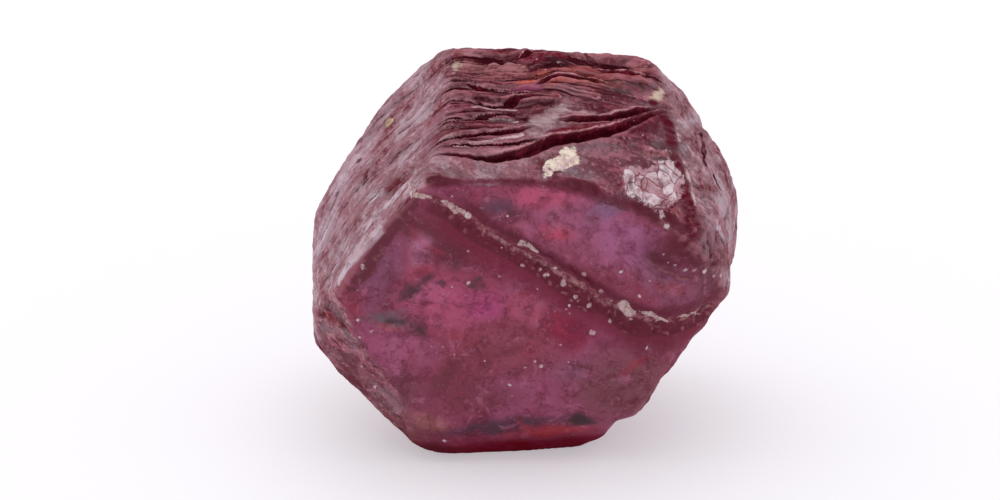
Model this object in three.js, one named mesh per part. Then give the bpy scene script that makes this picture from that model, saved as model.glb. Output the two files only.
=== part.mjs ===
// Rough sapphire: one short, barrel-shaped corundum crystal, broken and weathered, in millimetres
// with +Z up. The six-sided barrel lies on a lower pyramid face with its axis running front to back,
// so the flat end of the barrel is the big front face (towards -Y), leaning forward over the foot.
// The solid is star-shaped: its surface is one distance from the heart for every direction, found
// from the crystal's flat faces, the growth laminae and lumps on them, the clefts across the top,
// the stepped ledge and hollow facet on the front, and the chips out of the sides.
import * as THREE from 'three';
import { mergeVertices } from 'three/addons/utils/BufferGeometryUtils.js';

const { clamp, degToRad, lerp, smoothstep } = THREE.MathUtils;

// --- driving dimensions -------------------------------------------------------------------------

const HEART = new THREE.Vector3(0, -0.02, 5.15); // inner point that every reach is measured from
const FRONT_LEAN = 10;       // degrees that the front face leans forward
const FRONT_REACH = 4.25;    // mm from the heart to the front face
const EDGE_SHARPNESS = 60;   // higher makes the edges between faces crisper
const NEVER = 60;            // mm, farther than any face of the stone

// Flat faces: azimuth and tilt of the outward normal in degrees (azimuth 0 looks out of the front
// and 90 out of the right side, tilt 90 is straight up), then in mm the reach from the heart, the
// height of the growth laminae and the height of the lumps.
const FACES = {
  front: [0, -FRONT_LEAN, FRONT_REACH, 0, 0.04],
  top: [11.3, 75.4, 5.12, 0.2, 0.05],
  shelf: [18.7, 56.2, 5.23, 0.03, 0.05],
  shelfRight: [31, 53.5, 5.22, 0.03, 0.05],
  left: [-79, 27, 5.5, 0.12, 0.04],
  topLeft: [-79, 42.5, 5.2, 0.12, 0.05],
  right: [77.5, 36.5, 5.98, 0.06, 0.12],
  rightBrow: [80, 9, 5.96, 0.06, 0.12],
  lowLeft: [-80.5, -40, 5.95, 0.05, 0.06],
  footLeft: [-79.9, -57, 5.94, 0.03, 0.05],
  lowRight: [82, -34.5, 5.0, 0.05, 0.08],
  footRight: [80, -54, 5.34, 0.04, 0.08],
  rimLeft: [-39.8, -22.8, 5.97, 0.02, 0.1],
  toe: [5, -30, 5.1, 0.02, 0.05],
  toeTip: [8, -50, 5.42, 0.02, 0.03],
  cheekRight: [44.4, -19.5, 5.86, 0.02, 0.1],
  leftFlank: [-87.5, 1.5, 6.02, 0.06, 0.04],
  rightFlank: [86.6, -3, 5.9, 0.08, 0.12],
  topBack: [173.7, 63, 5.58, 0.14, 0.08],
  cornerLeft: [-135, 41.7, 5.88, 0.1, 0.06],
  cornerRight: [129, 33.8, 5.9, 0.1, 0.06],
  leftBack: [-115, 24, 5.76, 0.12, 0.06],
  rightBack: [115, 21, 5.98, 0.12, 0.1],
  lowLeftBack: [-123.5, -35.4, 5.45, 0.12, 0.06],
  lowRightBack: [121, -35.4, 5.35, 0.12, 0.06],
  back: [176.5, 4.6, 4.55, 0.05, 0.1],
  backFoot: [180, -51.5, 5.3, 0.1, 0.08],
};
const CLEFT_FACES = ['top', 'shelf', 'shelfRight'];
const CROWN = { height: 0.24, across: 0.9, halfWidth: 0.9 }; // mm, the top's swelling near its middle

// Clefts between the laminae on top: a line of points [x, depth behind the front face], and the
// half width and depth of the cleft, in mm. The first runs under the whole front edge of the top.
const CLEFTS = [
  { line: [[-3.3, 1.15], [-1.06, 1.25], [0.03, 1.6], [0.75, 2.2], [1.71, 2.65], [2.62, 3.2],
    [3.48, 3.9], [4.3, 4.45]], halfWidth: 0.2, depth: 0.32 },
  { line: [[-3.1, 1.5], [-2.2, 1.75], [-0.93, 2.1], [0.4, 2.65]], halfWidth: 0.16, depth: 0.24 },
  { line: [[-2.8, 3.75], [-1.99, 3.6], [-0.93, 3.4], [-0.16, 3.7], [0.9, 3.8]],
    halfWidth: 0.17, depth: 0.22 },
  { line: [[0.6, 2.85], [1.96, 3.26], [2.91, 3.73], [3.8, 4.25]], halfWidth: 0.16, depth: 0.2 },
  { line: [[0, 4.2], [0.86, 4.72], [2.5, 4.6]], halfWidth: 0.16, depth: 0.18 },
];

// The diagonal ledge on the front, from upper left to lower right, as points [x, height up the front
// face from the heart's level]. Above it the face is hollowed, below it the rim is bevelled.
const LEDGE = [[-3, 4.42], [-2.75, 4.3], [-1.93, 3.92], [-1.26, 3.26], [-0.16, 2.54], [0.94, 1.84],
  [2.05, 1.04], [3.11, 0.34], [3.86, 0.18], [6.5, 0.3]];
const BEVEL_WIDTH = 0.62;
const BEVEL_DROP = 0.2;
// Depth of the hollow facet below the front face at (a, u), across and up the face: the shares of
// 1, a, u, a squared, a times u and u squared.
const HOLLOW = [-0.319, 0.285, 0.256, -0.039, -0.029, -0.002];
// A second, smaller ledge at the right: above it the surface stands proud, up to the brow.
const BROW_LEDGE = [[3, 2.4], [3.59, 2.1], [3.92, 1.8], [4.47, 1.45], [5.05, 1.32], [5.8, 1.15],
  [6.6, 0.9]];
const BROW_HEIGHT = 0.12;
const LEDGE_WOBBLE = 0.05;
const LEDGE_SLOPE = [-0.14, 0.14];   // mm across the ledge over which the surface steps back

// Chips that leave a hollow edge: each is bounded by two planes, given by azimuth and tilt, and the
// point that the plane passes through. They run out between CHIP_FADE mm behind the front face.
const CHIPS = [
  { planes: [[82, -74, [3.05, -2.6, 1.45]], [80, -28, [2.54, -2.6, 1.05]]] },
  { planes: [[82, -62, [3.7, -2.8, 2.05]], [84, -8, [3.62, -2.8, 1.9]]] },
  { planes: [[-88, -26, [-5.76, -2.4, 5.0]], [-88, 30, [-5.76, -2.4, 4.84]]] },
];
const CHIP_FADE = [2.2, 3.6];

// Growth laminae: the pitch of the plates along the barrel's axis, the levels that wandering plates
// step between, and the shares of a step and of the pitch that their slopes take up.
const PLATE_PITCH = 0.8;
const PLATE_STEPS = 2.2;
const RISER = 0.6;
const CLIFF = 0.45;

const GEODESIC_DETAIL = 20;          // 20 * 21 * 21 = 8820 triangles
const CROWDING = 0.25;               // how far the vertices are drawn towards the detailed side
const DETAILED_SIDE = new THREE.Vector3(0, -0.8, 0.6);

// --- value noise --------------------------------------------------------------------------------

function lattice(i, j, k, seed) {
  let h = Math.imul(i, 374761393) + Math.imul(j, 668265263);
  h += Math.imul(k, 2246822519) + Math.imul(seed, 3266489917);
  h = Math.imul(h ^ (h >>> 13), 1274126177);
  h = Math.imul(h ^ (h >>> 15), 2246822519);
  return (((h ^ (h >>> 16)) >>> 0) / 4294967295) * 2 - 1;
}

// Smooth noise from -1 to 1, with waves about [1 / fx, 1 / fy, 1 / fz] mm long.
function noise([x, y, z], [fx, fy, fz], seed) {
  const at = [x * fx, y * fy, z * fz];
  const [i, j, k] = at.map(Math.floor);
  const [u, v, w] = at.map((value) => {
    const t = value - Math.floor(value);
    return t * t * t * (t * (t * 6 - 15) + 10);
  });
  const edge = (dj, dk) =>
    lerp(lattice(i, j + dj, k + dk, seed), lattice(i + 1, j + dj, k + dk, seed), u);
  return lerp(lerp(edge(0, 0), edge(1, 0), v), lerp(edge(0, 1), edge(1, 1), v), w);
}

// --- geometry helpers ---------------------------------------------------------------------------

function normalOf(azimuth, tilt) {
  const a = degToRad(azimuth);
  const t = degToRad(tilt);
  return new THREE.Vector3(Math.sin(a) * Math.cos(t), -Math.cos(a) * Math.cos(t), Math.sin(t));
}

// Distance along direction u to a plane with this normal and reach.
function toPlane(u, normal, reach) {
  const facing = u.dot(normal);
  return facing > 1e-3 ? reach / facing : NEVER;
}

function softMin(a, b, blend) {
  const least = Math.min(a, b);
  return least - blend * Math.log(Math.exp((least - a) / blend) + Math.exp((least - b) / blend));
}

const softMax = (a, b, blend) => -softMin(-a, -b, blend);

// Signed distance from (x, y) to a line of points, positive on its left, and how far along it.
function fromLine(x, y, line) {
  let nearest = { distance: Infinity, along: 0 };
  let length = 0;
  for (let n = 1; n < line.length; n += 1) {
    const [x0, y0] = line[n - 1];
    const [dx, dy] = [line[n][0] - x0, line[n][1] - y0];
    const span = Math.hypot(dx, dy);
    const t = clamp(((x - x0) * dx + (y - y0) * dy) / span ** 2, 0, 1);
    const [ex, ey] = [x - x0 - t * dx, y - y0 - t * dy];
    const distance = Math.hypot(ex, ey);
    if (distance < Math.abs(nearest.distance)) {
      nearest = { distance: distance * Math.sign(dx * ey - dy * ex), along: length + t * span };
    }
    length += span;
  }
  return { distance: nearest.distance, share: nearest.along / length };
}

// --- relief -------------------------------------------------------------------------------------

const NORMALS = Object.fromEntries(
  Object.entries(FACES).map(([name, [azimuth, tilt]]) => [name, normalOf(azimuth, tilt)]));
const AXIS = NORMALS.front.clone().negate();           // the barrel's axis, front to back
const UP_FRONT = new THREE.Vector3(0, -AXIS.z, AXIS.y); // up along the front face

// A point in the crystal's own directions: across, up the front face, and behind the front face.
function inCrystal(point) {
  const offset = point.clone().sub(HEART);
  return [offset.x, offset.dot(UP_FRONT), offset.dot(AXIS) + FRONT_REACH];
}

// Steps between flat terraces, and a cliff with a slow fall behind it.
function terraces(value, riser) {
  const part = value - Math.floor(value);
  return Math.floor(value) + smoothstep(part, 0.5 - riser / 2, 0.5 + riser / 2);
}

function cliffs(value, cliff) {
  const part = value - Math.floor(value);
  return smoothstep(part, 0, cliff) - part;
}

// Growth laminae: thin plates across the barrel's axis, so their edges run around the barrel.
function laminae([across, up, behind]) {
  const at = [across, up, behind];
  const bend = 0.55 * noise(at, [0.33, 0.33, 0.25], 11) + 0.22 * noise(at, [0.9, 0.9, 0.6], 12);
  const bent = [across, up, behind + bend];
  const wander = noise(bent, [0.35, 0.35, 1.3], 13) + 0.5 * noise(bent, [0.8, 0.8, 3], 14);
  const plates = terraces(wander * PLATE_STEPS, RISER) / PLATE_STEPS;
  return 0.55 * plates + 0.55 * (cliffs(bent[2] / PLATE_PITCH + 0.9 * wander, CLIFF) - 0.2);
}

function lumps(point) {
  const at = point.toArray();
  return noise(at, [0.75, 0.75, 0.75], 21) + 0.55 * noise(at, [1.35, 1.35, 1.35], 22);
}

// Depth of the clefts, each with a raised lip on its far side.
function clefts([across, up, behind]) {
  let relief = 0;
  for (const { line, halfWidth, depth } of CLEFTS) {
    const wobble = 0.05 * noise([across, up, behind], [2.2, 0.1, 0.1], 31);
    const { distance, share } = fromLine(across, behind + wobble, line);
    const fade = smoothstep(share, 0, 0.15) * smoothstep(1 - share, 0, 0.15);
    const groove = Math.exp(-((distance / halfWidth) ** 2));
    const lip = Math.exp(-(((distance - 1.7 * halfWidth) / (0.8 * halfWidth)) ** 2));
    relief += depth * fade * (0.35 * lip - groove);
  }
  return relief * smoothstep(up, 2.6, 3.4);
}

// --- the surface --------------------------------------------------------------------------------

// Distance to the faces along u, with rounded edges. relief(name) is added to each face's reach.
function toFaces(u, relief) {
  let sum = 0;
  for (const [name, normal] of Object.entries(NORMALS)) {
    const facing = Math.max(u.dot(normal), 0);
    sum += (facing / (FACES[name][2] + relief(name))) ** EDGE_SHARPNESS;
  }
  return sum ** (-1 / EDGE_SHARPNESS);
}

// Distance along u to the hollow facet above the ledge, with the rough step at its right.
function toHollow(u, crystal, lump) {
  const [a, v] = crystal;
  const terms = [1, a, v, a * a, a * v, v * v];
  const depth = HOLLOW.reduce((sum, share, n) => sum + share * terms[n], 0);
  const wobble = LEDGE_WOBBLE * noise(crystal, [1.6, 1.6, 1.6], 33);
  const { distance, share } = fromLine(a, v + wobble, BROW_LEDGE);
  const brow = smoothstep(distance, ...LEDGE_SLOPE) * smoothstep(share, 0, 0.25);
  const hollow = toPlane(u, NORMALS.front, FRONT_REACH - depth + 0.02 * lump);
  return hollow + BROW_HEIGHT * brow;
}

// Distance along u to the hollow edge of a chip.
function toChip(u, { planes }, lump) {
  const [one, other] = planes.map(([azimuth, tilt, through]) => {
    const normal = normalOf(azimuth, tilt);
    const reach = normal.dot(new THREE.Vector3(...through).sub(HEART));
    return toPlane(u, normal, reach + 0.03 * lump);
  });
  return softMax(one, other, 0.05);
}

function surfacePoint(u) {
  const plain = u.clone().multiplyScalar(toFaces(u, () => 0)).add(HEART);
  const crystal = inCrystal(plain);
  const [lamina, lump, cleft] = [laminae(crystal), lumps(plain), clefts(crystal)];
  const crown = CROWN.height * Math.exp(-(((crystal[0] - CROWN.across) / CROWN.halfWidth) ** 2));
  let distance = toFaces(u, (name) => {
    const relief = FACES[name][3] * lamina + FACES[name][4] * lump;
    return CLEFT_FACES.includes(name) ? relief + cleft + (name === 'top' ? crown : 0) : relief;
  });

  const wobble = LEDGE_WOBBLE * noise(crystal, [1.6, 1.6, 1.6], 32);
  const ledge = fromLine(crystal[0], crystal[1] + wobble, LEDGE);
  const nearFront = 1 - smoothstep(crystal[2], 0.5, 1.6);
  const bevel = smoothstep(ledge.distance, -BEVEL_WIDTH, 0) * smoothstep(ledge.share, 0, 0.1);
  distance -= BEVEL_DROP * bevel * nearFront;
  const hollowed = softMin(distance, toHollow(u, crystal, lump), 0.05);
  distance = lerp(distance, hollowed, smoothstep(ledge.distance, ...LEDGE_SLOPE));
  const chipsEnd = smoothstep(crystal[2], ...CHIP_FADE);
  for (const chip of CHIPS) distance = softMin(distance, toChip(u, chip, lump) + chipsEnd, 0.04);

  // The face it rests on is flat, with a crisp edge.
  distance = Math.min(distance, toPlane(u, new THREE.Vector3(0, 0, -1), HEART.z));
  return u.clone().multiplyScalar(distance).add(HEART);
}

// --- the stone ----------------------------------------------------------------------------------

function crystalGeometry() {
  const sphere = new THREE.IcosahedronGeometry(1, GEODESIC_DETAIL);
  sphere.deleteAttribute('normal');
  sphere.deleteAttribute('uv');
  const geometry = mergeVertices(sphere, 1e-5);
  const position = geometry.getAttribute('position');
  const u = new THREE.Vector3();
  for (let n = 0; n < position.count; n += 1) {
    u.fromBufferAttribute(position, n).normalize().addScaledVector(DETAILED_SIDE, CROWDING);
    const point = surfacePoint(u.normalize());
    position.setXYZ(n, point.x, point.y, point.z);
  }
  geometry.computeVertexNormals();
  return geometry;
}

const stone = new THREE.Mesh(
  crystalGeometry(),
  new THREE.MeshStandardMaterial({ color: 0x7a2c45, roughness: 0.4, metalness: 0 }),
);
stone.name = 'sapphire_crystal';

const part = new THREE.Group();
part.add(stone);
export default part;
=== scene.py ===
import math
import bmesh
import bpy
import numpy as np
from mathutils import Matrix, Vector


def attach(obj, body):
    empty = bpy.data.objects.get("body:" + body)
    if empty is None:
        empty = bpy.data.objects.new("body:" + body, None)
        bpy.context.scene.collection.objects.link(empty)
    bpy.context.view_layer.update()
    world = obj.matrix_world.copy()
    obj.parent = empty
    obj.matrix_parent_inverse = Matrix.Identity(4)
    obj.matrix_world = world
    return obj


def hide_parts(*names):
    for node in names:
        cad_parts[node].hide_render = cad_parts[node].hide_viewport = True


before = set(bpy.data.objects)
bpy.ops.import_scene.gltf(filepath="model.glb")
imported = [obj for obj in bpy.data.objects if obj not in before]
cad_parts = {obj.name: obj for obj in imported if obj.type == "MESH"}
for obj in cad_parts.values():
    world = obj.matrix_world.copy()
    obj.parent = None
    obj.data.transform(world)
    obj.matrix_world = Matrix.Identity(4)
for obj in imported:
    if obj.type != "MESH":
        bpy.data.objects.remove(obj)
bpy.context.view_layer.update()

# --- Camera ---------------------------------------------------------------------------------------
# A long close-up lens, looking slightly down on the stone from straight in front of its flat face.
MM = 0.001
LENS = 150.0
CAMERA_TILT = math.radians(20)
CAMERA_DISTANCE = 119.05 * MM
AIM = Vector((-0.71, 0.0, 5.2)) * MM      # left of the stone's middle, so that it stands right of centre

camera = bpy.data.objects.new("camera", bpy.data.cameras.new("camera"))
camera.data.lens = LENS
camera.data.clip_start = 1 * MM
camera.location = AIM + CAMERA_DISTANCE * Vector((0, -math.cos(CAMERA_TILT), math.sin(CAMERA_TILT)))
camera.rotation_euler = (math.pi / 2 - CAMERA_TILT, 0, 0)
bpy.context.collection.objects.link(camera)
bpy.context.scene.camera = camera
bpy.context.scene.view_settings.view_transform = "Standard"

# --- Light ----------------------------------------------------------------------------------------
# A white light tent: a bright backdrop low down behind and beside the stone, a dimmer roof and front,
# and one very wide overhead light that leaves only a faint shadow on the floor.
BACKDROP = 1.0
ROOF = 0.9
FRONT = 0.85
OVERHEAD_STRENGTH = 0.6
OVERHEAD_WIDTH = math.radians(80)
OVERHEAD_LEAN = (math.radians(-12), math.radians(-10), 0)      # a little from behind and from the left
TENT_WHITE = (0.98, 0.98, 1, 1)

world = bpy.data.worlds.new("light tent")
bpy.context.scene.world = world
world.use_nodes = True
tent = world.node_tree
tent.nodes["Background"].inputs["Color"].default_value = TENT_WHITE


def tent_fade(axis, low, high, to_low, to_high):
    """A brightness that changes smoothly with the direction's height along one axis."""
    along = tent.nodes.new("ShaderNodeVectorMath")
    along.operation = "DOT_PRODUCT"
    along.inputs[1].default_value = axis
    tent.links.new(direction, along.inputs[0])
    fade = tent.nodes.new("ShaderNodeMapRange")
    fade.interpolation_type = "SMOOTHSTEP"
    for name, value in zip(("From Min", "From Max", "To Min", "To Max"), (low, high, to_low, to_high)):
        fade.inputs[name].default_value = value
    tent.links.new(along.outputs["Value"], fade.inputs["Value"])
    return fade.outputs["Result"]


direction = tent.nodes.new("ShaderNodeTexCoord").outputs["Generated"]
behind = tent_fade((0, 1, 0), -0.45, 0.25, FRONT, BACKDROP)
low = tent_fade((0, 0, 1), 0.35, 0.7, 1.0, ROOF / BACKDROP)
glow = tent.nodes.new("ShaderNodeMath")
glow.operation = "MULTIPLY"
tent.links.new(behind, glow.inputs[0])
tent.links.new(low, glow.inputs[1])
tent.links.new(glow.outputs[0], tent.nodes["Background"].inputs["Strength"])

overhead = bpy.data.objects.new("overhead light", bpy.data.lights.new("overhead light", "SUN"))
overhead.data.energy = OVERHEAD_STRENGTH
overhead.data.angle = OVERHEAD_WIDTH
overhead.rotation_euler = OVERHEAD_LEAN
bpy.context.collection.objects.link(overhead)

# --- Floor ----------------------------------------------------------------------------------------
# A seamless sheet of white acrylic, faintly lit from below.
FLOOR_HALF = 0.6
ACRYLIC = {
    "Base Color": (0.64, 0.63, 0.65, 1),
    "Emission Color": (0.98, 0.95, 1, 1),
    "Emission Strength": 0.37,
    "Roughness": 0.9,
    "Specular IOR Level": 0.1,
}

sheet = bmesh.new()
bmesh.ops.create_grid(sheet, x_segments=1, y_segments=1, size=FLOOR_HALF)
floor_mesh = bpy.data.meshes.new("floor")
sheet.to_mesh(floor_mesh)
sheet.free()
floor = bpy.data.objects.new("floor", floor_mesh)
bpy.context.collection.objects.link(floor)
acrylic = bpy.data.materials.new("white acrylic")
acrylic.use_nodes = True
for name, value in ACRYLIC.items():
    acrylic.node_tree.nodes["Principled BSDF"].inputs[name].default_value = value
floor_mesh.materials.append(acrylic)

# --- Sapphire crystal -----------------------------------------------------------------------------
# The whole stone: one short, barrel-shaped corundum crystal, lying on a lower pyramid face. It grew
# as flat faces with thin laminae, then was broken, scooped and worn. Sizes are in millimetres.
HEART = np.array((0.0, -0.02, 5.15))      # inner point that every reach is measured from
FRONT_LEAN = 10.0
FRONT_REACH = 4.25
EDGE_SHARPNESS = 60.0
NEVER = 60.0

# Each flat face: azimuth and tilt of its normal, reach from the heart, height of its laminae, of its
# round lumps, of its knobbly bumps and of its fine grain, then how clear and how pale it is; the
# paleness is partly the stone's tone and partly a painted sheen of the white tent.
FACES = {
    "front": (0, -FRONT_LEAN, FRONT_REACH, 0, 0.04, 0, 0.004, 1.0, 0.0),
    "top": (11.3, 75.4, 5.12, 0.28, 0.05, 0.02, 0.03, 0.1, 0.1),
    "shelf": (18.7, 56.2, 5.23, 0.03, 0.05, 0.02, 0.025, 0.15, 0.6),
    "shelf_right": (31, 53.5, 5.22, 0.03, 0.05, 0.02, 0.025, 0.15, 0.25),
    "left": (-79, 27, 5.5, 0.1, 0.04, 0.02, 0.02, 0.1, 0.8),
    "top_left": (-79, 42.5, 5.2, 0.11, 0.05, 0.04, 0.025, 0.1, 0.75),
    "right": (77.5, 36.5, 5.98, 0.05, 0.08, 0.14, 0.02, 0.1, 0.8),
    "right_brow": (80, 9, 5.96, 0.05, 0.08, 0.14, 0.02, 0.2, 0.7),
    "low_left": (-80.5, -40, 5.95, 0.05, 0.06, 0.04, 0.02, 0.3, 0.3),
    "foot_left": (-79.9, -57, 5.94, 0.03, 0.05, 0.02, 0.015, 0.5, 0.1),
    "low_right": (82, -34.5, 5.0, 0.05, 0.08, 0.08, 0.02, 0.4, 0.3),
    "foot_right": (80, -54, 5.34, 0.04, 0.08, 0.08, 0.02, 0.5, 0.1),
    "rim_left": (-39.8, -22.8, 5.97, 0.02, 0.1, 0.04, 0.02, 0.3, 0.4),
    "toe": (5, -30, 5.1, 0.02, 0.05, 0, 0.008, 0.8, 0.0),
    "toe_tip": (8, -50, 5.42, 0.02, 0.03, 0, 0.005, 1.0, 0.0),
    "cheek_right": (44.4, -19.5, 5.86, 0.02, 0.1, 0.03, 0.012, 0.7, 0.1),
    "left_flank": (-87.5, 1.5, 6.02, 0.06, 0.04, 0.04, 0.02, 0.1, 1.0),
    "right_flank": (86.6, -3, 5.9, 0.06, 0.08, 0.14, 0.02, 0.2, 0.8),
    "top_back": (173.7, 63, 5.58, 0.14, 0.08, 0.04, 0.03, 0.1, 0.3),
    "corner_left": (-135, 41.7, 5.88, 0.07, 0.06, 0.04, 0.02, 0.1, 0.6),
    "corner_right": (129, 33.8, 5.9, 0.1, 0.06, 0.06, 0.02, 0.1, 0.6),
    "left_back": (-115, 24, 5.76, 0.08, 0.06, 0.03, 0.02, 0.1, 0.6),
    "right_back": (115, 21, 5.98, 0.08, 0.1, 0.1, 0.02, 0.1, 0.6),
    "low_left_back": (-123.5, -35.4, 5.45, 0.08, 0.06, 0.03, 0.02, 0.2, 0.4),
    "low_right_back": (121, -35.4, 5.35, 0.08, 0.06, 0.04, 0.02, 0.2, 0.4),
    "back": (176.5, 4.6, 4.55, 0.05, 0.1, 0.03, 0.015, 0.6, 0.2),
    "back_foot": (180, -51.5, 5.3, 0.1, 0.08, 0.03, 0.02, 0.3, 0.2),
}
AZIMUTH, TILT, REACH, LAMINAE, LUMPS, KNOBS, FINE_GRAIN, CLEAR, PALE = range(9)
CLEFT_FACES = ("top", "shelf", "shelf_right")
CROWN_HEIGHT, CROWN_ACROSS, CROWN_HALF_WIDTH = 0.24, 0.9, 0.9      # the top's swelling near its middle

# Clefts between the laminae on top: points (across, behind the front face), half width, depth and
# the height of the lip behind. The first runs under the whole front edge of the top.
CLEFTS = (
    (((-3.3, 1.15), (-2.08, 1.2), (-1.06, 1.25), (0.03, 1.6), (0.75, 2.2), (1.71, 2.65), (2.62, 3.2),
      (3.48, 3.9), (4.3, 4.45)), 0.075, 0.22, 0.2),
    (((-3.1, 1.5), (-2.2, 1.75), (-1.54, 1.92), (-0.93, 2.1), (-0.21, 2.33), (0.4, 2.65)),
     0.065, 0.22, 0.14),
    (((-2.6, 1.42), (-1.26, 1.58), (-0.16, 1.88), (0.6, 2.2)), 0.035, 0.14, 0.1),
    (((-2.8, 3.75), (-1.99, 3.6), (-0.93, 3.4), (-0.16, 3.7), (0.9, 3.8)), 0.06, 0.16, 0.14),
    (((-3.1, 2.3), (-2.2, 2.26), (-1.5, 2.4)), 0.04, 0.14, 0.08),
    (((0.6, 2.85), (1.06, 2.99), (1.96, 3.26), (2.91, 3.73), (3.8, 4.25)), 0.05, 0.16, 0.14),
    (((0.0, 4.2), (0.86, 4.72), (1.59, 4.74), (2.5, 4.6)), 0.05, 0.14, 0.1),
    (((1.8, 5.65), (2.96, 5.47), (4.0, 5.4)), 0.05, 0.14, 0.08),
    (((-0.9, 5.75), (0.15, 6.07), (1.27, 6.33), (2.2, 5.9)), 0.03, 0.08, 0.08),
    (((-2.9, 2.55), (-1.53, 2.74), (-0.1, 3.15)), 0.04, 0.14, 0.1),
    (((-2.0, 4.35), (-0.71, 4.13), (0.5, 3.85)), 0.04, 0.12, 0.1),
)

# The diagonal ledge on the front (a across, u up the front face). Above it the face is hollowed,
# and below it the rim is bevelled. The hollow is a quadratic surface, fitted roughly through the
# ledge below it and the shelf's edge above it. A smaller ledge at the right leads to the brow.
LEDGE = ((-3, 4.42), (-2.75, 4.3), (-1.93, 3.92), (-1.26, 3.26), (-0.16, 2.54), (0.94, 1.84),
         (2.05, 1.04), (3.11, 0.34), (3.86, 0.18), (6.5, 0.3))
BEVEL_WIDTH = 0.62
BEVEL_DROP = 0.2
HOLLOW = (-0.319, 0.285, 0.256, -0.039, -0.029, -0.002)     # its depth: 1, a, u, aa, au, uu
BROW_LEDGE = ((3.0, 2.4), (3.59, 2.1), (3.92, 1.8), (4.47, 1.45), (5.05, 1.32), (5.8, 1.15), (6.6, 0.9))
BROW_HEIGHT = 0.12

# Chips with a hollow edge: two planes each, as azimuth, tilt and a point that it passes through.
CHIPS = (
    ((82, -74, (3.05, -2.6, 1.45)), (80, -28, (2.54, -2.6, 1.05))),
    ((82, -62, (3.7, -2.8, 2.05)), (84, -8, (3.62, -2.8, 1.9))),
    ((-88, -26, (-5.76, -2.4, 5.0)), (-88, 30, (-5.76, -2.4, 4.84))),
)
CHIP_FADE = (2.2, 3.6)                            # where they run out, behind the front face

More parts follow.
